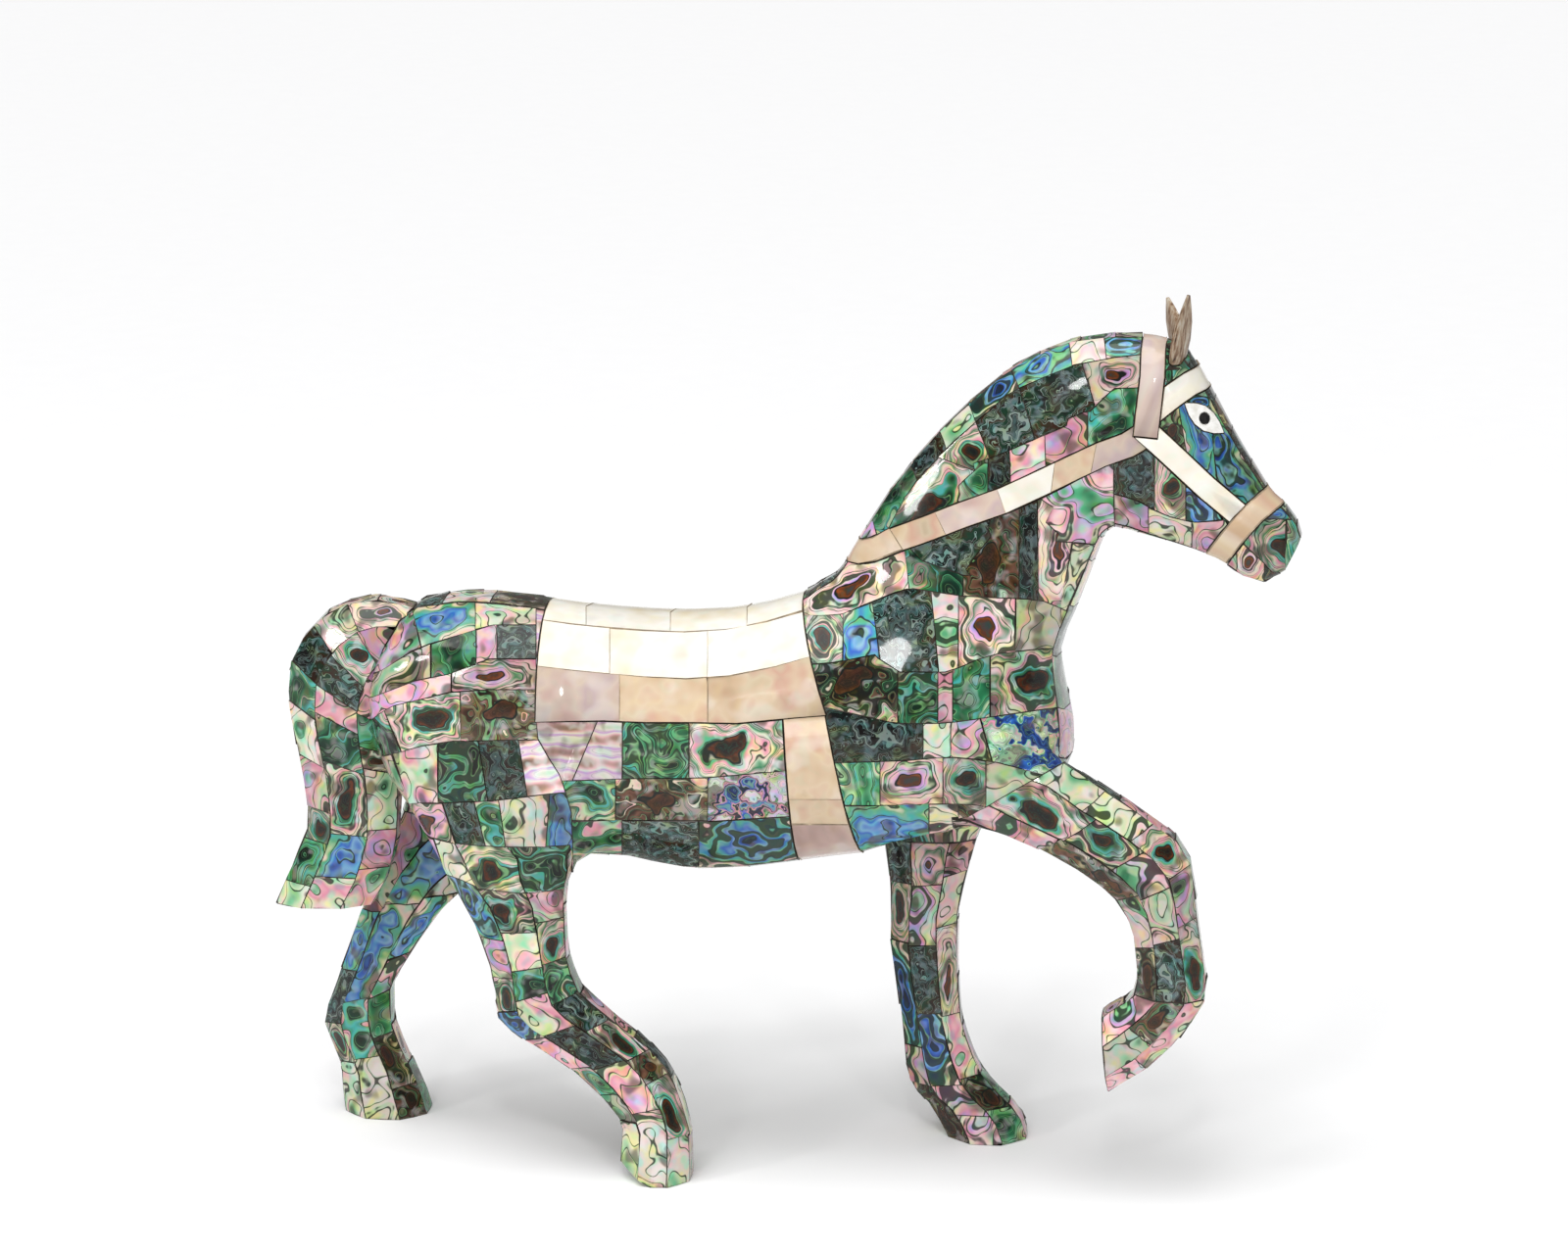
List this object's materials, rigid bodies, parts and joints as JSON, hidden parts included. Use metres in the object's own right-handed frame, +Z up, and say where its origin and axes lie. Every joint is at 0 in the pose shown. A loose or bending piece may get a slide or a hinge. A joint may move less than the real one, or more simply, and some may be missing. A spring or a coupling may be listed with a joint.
{
  "type": "inlaid horse sculpture",
  "caption": "Trotting horse figurine clad in polished abalone shell tiles, with a mother-of-pearl saddle blanket, girth, reins and bridle let in flush.",
  "frame": {"origin": "on the ground in the middle of the bounding box, between the feet", "axes": "+X from the tail towards the nose, +Y towards the horse's own left side, +Z up"},
  "size_m": [0.3054, 0.0674, 0.2687],
  "materials": {
    "abalone_shell": "polished, iridescent",
    "mother_of_pearl": "polished, pearly",
    "brown_shell": "polished",
    "white_shell": "polished",
    "black_shell": "polished"
  },
  "bodies": {
    "root": {"horse_body": "abalone_shell", "saddle_blanket": "mother_of_pearl", "girth": "mother_of_pearl", "reins": "mother_of_pearl", "crownpiece": "mother_of_pearl", "browband": "mother_of_pearl", "cheekpiece_right": "mother_of_pearl", "cheekpiece_left": "mother_of_pearl", "noseband": "mother_of_pearl", "ear_right": "brown_shell", "ear_left": "brown_shell", "eye_right": "white_shell", "eye_left": "white_shell", "pupil_right": "black_shell", "pupil_left": "black_shell"}
  },
  "joints": []
}
